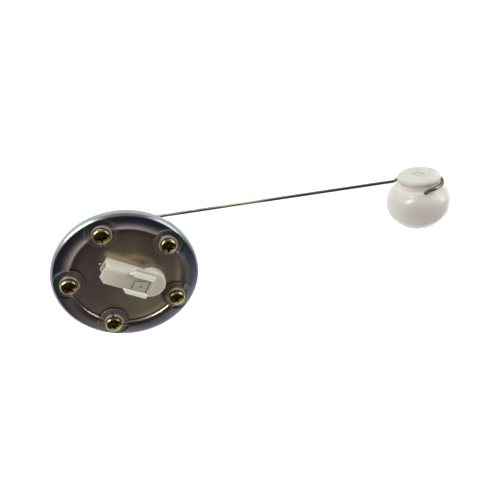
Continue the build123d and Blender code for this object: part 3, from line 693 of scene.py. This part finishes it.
dress(makeFlangeMaterial(), "mounting_flange")
dress(makeMetal("yellowZinc"), "mounting_screws")
dress(makeMetal("springSteel"), "lock_washers")
dress(makeMetal("tinnedBrass"), "signal_terminal", "earth_terminal", "full_end_clip", "empty_end_clip",
      "signal_strap", "earth_strap")
dress(makeMetal("brightZinc"), "connector_retainer", "housing_rivets", "earth_rivet", "shaft_clip")
dress(makeMetal("bracketSteel"), "support_bracket")
dress(makeMetal("turnedBrass"), "back_bush", "front_bush")
dress(makeMetal("springBronze"), "wiper_spring", "wiper_contact")
dress(makeMetal("resistanceWire"), "resistance_winding")
dress(makeArmMaterial(), "float_arm")
dress(makeMoulding("whiteNylon"), "connector_housing")
dress(makeMoulding("milkyFloat"), "float")
dress(makeMoulding("darkMoulding"), "resistor_housing", "housing_cover")
dress(makeMoulding("naturalAcetal"), "wiper_hub")
dress(makeMoulding("laminateBoard"), "resistor_card")
dress(makeMoulding("sealRubber"), "flange_gasket", "connector_seal")
print("materials done")


# small tools for modelling
nearlySame = 0.00001


def chooseOnly(*objects):
    bpy.ops.object.select_all(action="DESELECT")
    for item in objects:
        item.select_set(True)
    bpy.context.view_layer.objects.active = objects[0]


def pickParts(item, kind, test):
    # opens edit mode with only the vertices, edges or faces for which test holds selected
    chooseOnly(item)
    bpy.ops.object.mode_set(mode="EDIT")
    bpy.ops.mesh.select_mode(type=kind)
    bpy.ops.mesh.select_all(action="DESELECT")
    bpy.ops.object.mode_set(mode="OBJECT")
    mesh = item.data
    parts = {"VERT": mesh.vertices, "EDGE": mesh.edges, "FACE": mesh.polygons}[kind]
    for part in parts:
        part.select = test(mesh, part)
    bpy.ops.object.mode_set(mode="EDIT")


def endsAt(mesh, edge, height):
    return all(abs(mesh.vertices[index].co.z - height) < nearlySame for index in edge.vertices)


def applyChange(item, kind, **settings):
    modifier = item.modifiers.new(kind.title(), kind)
    for key, value in settings.items():
        setattr(modifier, key, value)
    chooseOnly(item)
    bpy.ops.object.modifier_apply(modifier=modifier.name)


def cutAway(item, cutter):
    applyChange(item, "BOOLEAN", operation="DIFFERENCE", solver="EXACT", object=cutter)
    bpy.data.objects.remove(cutter)


def settle(item):
    chooseOnly(item)
    bpy.ops.object.transform_apply(location=True, rotation=True, scale=True)


# screws: pan heads with a cross recess over a rolled thread
screwLook = {
    "turns": (20.0, 65.0, -10.0, 40.0, 85.0),
    "seat": 0.00645,
    "top": 0.00945,
    "headRadius": 0.00418,
    "headSides": 60,
    "wallHeight": 0.0010,
    "domeRings": 11,
    "domeTurn": 84.0,
    "domePower": 3.2,
    "crossSpan": 0.0074,
    "crossWidth": 0.00125,
    "crossDepth": 0.0021,
    "crossTaper": (0.34, 0.60),
    "pitRadius": 0.00125,
    "pitFoot": 0.45,
    "pitDepth": 1.1,
    "pitSides": 20,
    "neckRadius": 0.0022,
    "rootRadius": 0.0021,
    "shankSides": 32,
    "ridge": 0.0004,
    "pitch": 0.0008,
    "turnsOfThread": 10,
    "threadStart": 0.0006,
    "threadSteps": 24,
    "shankTop": -0.0005,
    "tip": -0.0095,
    "point": 0.0007,
    "overlap": 0.0004,
    "smoothBelow": 32.0,
}


def makeScrewHead():
    look = screwLook
    bpy.ops.object.select_all(action="DESELECT")
    bpy.ops.mesh.primitive_cylinder_add(vertices=look["headSides"], radius=look["headRadius"],
                                        depth=look["wallHeight"],
                                        location=(0.0, 0.0, look["seat"] + look["wallHeight"] / 2))
    head = bpy.context.active_object
    settle(head)
    domeFoot = look["seat"] + look["wallHeight"]
    pickParts(head, "FACE", lambda mesh, face: face.normal.z > 0.9)
    reach, level = 1.0, 0.0
    for ring in range(1, look["domeRings"] + 1):
        nextReach = math.cos(math.radians(look["domeTurn"] * ring / look["domeRings"]))
        nextLevel = math.sqrt(1.0 - nextReach ** look["domePower"]) * (look["top"] - domeFoot)
        bpy.ops.mesh.extrude_region_move(TRANSFORM_OT_translate={"value": (0.0, 0.0, nextLevel - level)})
        bpy.ops.transform.resize(value=(nextReach / reach, nextReach / reach, 1.0),
                                 center_override=(0.0, 0.0, domeFoot + nextLevel))
        reach, level = nextReach, nextLevel
    bpy.ops.object.mode_set(mode="OBJECT")
    for quarter in (0.0, 90.0):
        bpy.ops.object.select_all(action="DESELECT")
        bpy.ops.mesh.primitive_cube_add(size=1.0, location=(0.0, 0.0, look["top"]))
        wing = bpy.context.active_object
        wing.scale = (look["crossSpan"], look["crossWidth"], look["crossDepth"] * 2)
        settle(wing)
        pickParts(wing, "VERT", lambda mesh, point: point.co.z < look["top"])
        bpy.ops.transform.resize(value=(*look["crossTaper"], 1.0), center_override=(0.0, 0.0, look["top"]))
        bpy.ops.object.mode_set(mode="OBJECT")
        wing.rotation_euler.z = math.radians(quarter)
        settle(wing)
        cutAway(head, wing)
    bpy.ops.object.select_all(action="DESELECT")
    bpy.ops.mesh.primitive_cone_add(vertices=look["pitSides"], radius1=look["pitRadius"] * look["pitFoot"],
                                    radius2=look["pitRadius"], depth=look["crossDepth"] * look["pitDepth"],
                                    location=(0.0, 0.0, look["top"] - look["crossDepth"] / 2))
    pit = bpy.context.active_object
    settle(pit)
    cutAway(head, pit)
    return head


def makeScrewShank():
    look = screwLook
    pieces = []
    for low, high, radius in ((look["tip"], look["shankTop"], look["rootRadius"]),
                              (look["shankTop"], look["seat"] + look["overlap"], look["neckRadius"])):
        bpy.ops.object.select_all(action="DESELECT")
        bpy.ops.mesh.primitive_cylinder_add(vertices=look["shankSides"], radius=radius, depth=high - low,
                                            location=(0.0, 0.0, (low + high) / 2))
        pieces.append(bpy.context.active_object)
        settle(pieces[-1])
    pickParts(pieces[0], "EDGE", lambda mesh, edge: endsAt(mesh, edge, look["tip"]))
    bpy.ops.mesh.bevel(offset=look["point"], segments=1, affect="EDGES")
    bpy.ops.object.mode_set(mode="OBJECT")
    bpy.ops.object.select_all(action="DESELECT")
    bpy.ops.mesh.primitive_circle_add(vertices=4, radius=look["ridge"], fill_type="NOTHING",
                                      rotation=(math.radians(90.0), 0.0, 0.0))
    thread = bpy.context.active_object
    settle(thread)
    bpy.ops.object.mode_set(mode="EDIT")
    bpy.ops.mesh.select_all(action="SELECT")
    bpy.ops.transform.translate(value=(look["rootRadius"], 0.0, look["tip"] + look["threadStart"]))
    bpy.ops.object.mode_set(mode="OBJECT")
    applyChange(thread, "SCREW", axis="Z", angle=math.radians(360.0), screw_offset=look["pitch"],
                iterations=look["turnsOfThread"], steps=look["threadSteps"], render_steps=look["threadSteps"],
                use_merge_vertices=False)
    bpy.ops.object.mode_set(mode="EDIT")
    bpy.ops.mesh.select_all(action="SELECT")
    bpy.ops.mesh.remove_doubles(threshold=nearlySame)
    bpy.ops.mesh.fill_holes(sides=4)
    bpy.ops.mesh.normals_make_consistent(inside=False)
    bpy.ops.object.mode_set(mode="OBJECT")
    pieces.append(thread)
    return pieces


def makeScrews(material):
    look = screwLook
    pieces = [makeScrewHead()] + makeScrewShank()
    chooseOnly(*pieces)
    bpy.ops.object.join()
    first = bpy.context.active_object
    first.data.materials.clear()
    first.data.materials.append(material)
    screws = []
    for angle, turn in zip(flangeLook["screwAngles"], look["turns"]):
        screw = first.copy()
        screw.data = first.data.copy()
        bpy.context.scene.collection.objects.link(screw)
        screw.location = screwPlace(angle)
        screw.rotation_euler.z = math.radians(turn)
        settle(screw)
        screws.append(screw)
    bpy.data.objects.remove(first)
    chooseOnly(*screws)
    bpy.ops.object.join()
    whole = bpy.context.active_object
    whole.name = "crossHeadScrews"
    bpy.ops.object.shade_smooth_by_angle(angle=math.radians(look["smoothBelow"]))
    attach(whole, "root")
    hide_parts("mounting_screws")


makeScrews(bpy.data.materials["yellowZinc"])
print("screws done")


# studio: pale floor well below the lowest pose of the arm, two soft lamps and a quiet room
studio = {
    "floorLevel": -0.185,
    "floorSize": 8.0,
    "floorColour": (0.86, 0.86, 0.86),
    "floorGlow": 0.6,
    "glowFar": (0.35, 1.1),
    "roomHigh": (0.035, 0.034, 0.036),
    "roomSide": (0.80, 0.80, 0.81),
    "sideFrom": 0.34,
    "sideTo": 0.04,
    "roomRight": (0.42, 0.42, 0.43),
    "rightFrom": 0.15,
    "rightTo": 0.60,
    "roomFront": (0.40, 0.395, 0.39),
    "frontFrom": 0.30,
    "frontTo": 0.70,
    "frontHighFrom": 0.88,
    "frontHighTo": 0.55,
    "window": (0.76, 0.74, 0.70),
    "windowRise": (27.0, 54.0),
    "windowFall": (74.0, 96.0),
    "windowLeft": (-0.62, -0.22),
    "windowRight": (0.34, 0.64),
    "lampDistance": 0.9,
    "fills": (  # hidden from reflections
        {"name": "rightFill", "towards": (0.75, 0.60, 0.28), "size": (0.80, 0.60), "power": 2.2},
        {"name": "frontFill", "towards": (0.10, -0.80, 0.45), "size": (0.90, 0.60), "power": 3.0},
    ),
    "lamps": (
        {"name": "leftSoftbox", "towards": (-0.62, 0.72, 0.28), "size": (0.62, 0.22), "power": 5.6},
        {"name": "rightSoftbox", "towards": (0.88, 0.30, 0.36), "size": (0.60, 0.34), "power": 3.0},
    ),
}


def addFloor():
    bpy.ops.object.select_all(action="DESELECT")
    bpy.ops.mesh.primitive_plane_add(size=studio["floorSize"], location=(0.0, 0.0, studio["floorLevel"]))
    floor = bpy.context.active_object
    floor.name = "studioFloor"
    material = bpy.data.materials.new("paleFloor")
    tree = newTree(material)
    diffuse = addNode(tree, "ShaderNodeBsdfDiffuse")
    diffuse.inputs["Color"].default_value = (*studio["floorColour"], 1.0)
    glow = addNode(tree, "ShaderNodeEmission")
    path = addNode(tree, "ShaderNodeLightPath")
    seen = mathNode(tree, "MAXIMUM", path.outputs["Is Camera Ray"], path.outputs["Is Glossy Ray"])
    seen = mathNode(tree, "MAXIMUM", seen, path.outputs["Is Transmission Ray"])
    away = addNode(tree, "ShaderNodeVectorMath", operation="LENGTH")
    tree.links.new(objectPoint(tree), away.inputs[0])
    level = rangeNode(tree, away.outputs["Value"], *studio["glowFar"], studio["floorGlow"], 1.0)
    tree.links.new(mathNode(tree, "MULTIPLY", seen, level), glow.inputs["Strength"])
    both = addNode(tree, "ShaderNodeAddShader")
    link(tree, diffuse, "BSDF", both, 0)
    link(tree, glow, "Emission", both, 1)
    output = addNode(tree, "ShaderNodeOutputMaterial")
    link(tree, both, "Shader", output, "Surface")
    floor.data.materials.append(material)


def addRoom():
    world = bpy.data.worlds.new("studioRoom")
    bpy.context.scene.world = world
    world.use_nodes = True
    tree = world.node_tree
    tree.nodes.clear()
    point = addNode(tree, "ShaderNodeTexCoord").outputs["Generated"]
    unit = addNode(tree, "ShaderNodeVectorMath", operation="NORMALIZE")
    tree.links.new(point, unit.inputs[0])
    split = splitPoint(tree, unit.outputs["Vector"])
    side = rangeNode(tree, split.outputs["Z"], studio["sideTo"], studio["sideFrom"], 1.0, 0.0)
    front = rangeNode(tree, split.outputs["Y"], studio["frontFrom"], studio["frontTo"])
    frontHigh = rangeNode(tree, split.outputs["Z"], studio["frontHighTo"], studio["frontHighFrom"], 1.0, 0.0)
    right = rangeNode(tree, split.outputs["X"], studio["rightFrom"], studio["rightTo"])
    room = mixColour(tree, right, studio["roomSide"], studio["roomRight"])
    room = mixColour(tree, side, studio["roomHigh"], room)
    room = mixColour(tree, front, room, mixColour(tree, frontHigh, studio["roomHigh"], studio["roomFront"]))
    # a wide bright panel behind the object, seen in the flat metal
    lean = mathNode(tree, "ARCTAN2", mathNode(tree, "MULTIPLY", split.outputs["Y"], -1.0), split.outputs["Z"])
    rise, fall = ([math.radians(value) for value in studio[key]] for key in ("windowRise", "windowFall"))
    share = multiply(tree, band(tree, lean, rise, fall),
                     band(tree, split.outputs["X"], studio["windowLeft"], studio["windowRight"]))
    room = mixColour(tree, share, room, studio["window"], blend="ADD")
    path = addNode(tree, "ShaderNodeLightPath")
    colour = mixColour(tree, path.outputs["Is Camera Ray"], room, (1.0, 1.0, 1.0))
    background = addNode(tree, "ShaderNodeBackground")
    tree.links.new(colour, background.inputs["Color"])
    output = addNode(tree, "ShaderNodeOutputWorld")
    link(tree, background, "Background", output, "Surface")


def addLamps():
    for lamp in studio["lamps"] + studio["fills"]:
        towards = Vector(lamp["towards"]).normalized()
        light = bpy.data.lights.new(lamp["name"], "AREA")
        light.energy = lamp["power"]
        light.shape = "RECTANGLE"
        light.size, light.size_y = lamp["size"]
        holder = bpy.data.objects.new(lamp["name"], light)
        holder.location = towards * studio["lampDistance"]
        holder.rotation_euler = towards.to_track_quat("Z", "Y").to_euler()
        holder.visible_glossy = lamp not in studio["fills"]
        bpy.context.scene.collection.objects.link(holder)


# camera, fitted to the screws, the rim and the float in the photograph
cameraFit = {
    "place": (0.0335, 0.1151, 0.1922),
    "right": (0.9492, -0.1747, 0.2617),
    "up": (0.2857, 0.8269, -0.4844),
    "back": (-0.1318, 0.5345, 0.8348),
    "focalPixels": 430.0,
    "framePixels": 500.0,
    "sensor": 36.0,
    "clip": (0.01, 20.0),
}


def addCamera():
    fit = cameraFit
    camera = bpy.data.cameras.new("photoCamera")
    camera.sensor_fit = "HORIZONTAL"
    camera.sensor_width = fit["sensor"]
    camera.lens = fit["sensor"] * fit["focalPixels"] / fit["framePixels"]
    camera.clip_start, camera.clip_end = fit["clip"]
    holder = bpy.data.objects.new("photoCamera", camera)
    turn = Matrix([fit["right"], fit["up"], fit["back"]]).transposed()
    holder.matrix_world = Matrix.Translation(fit["place"]) @ turn.to_4x4()
    bpy.context.scene.collection.objects.link(holder)
    bpy.context.scene.camera = holder


addFloor()
addRoom()
addLamps()
addCamera()
bpy.context.scene.view_settings.view_transform = "Standard"
print("studio done")
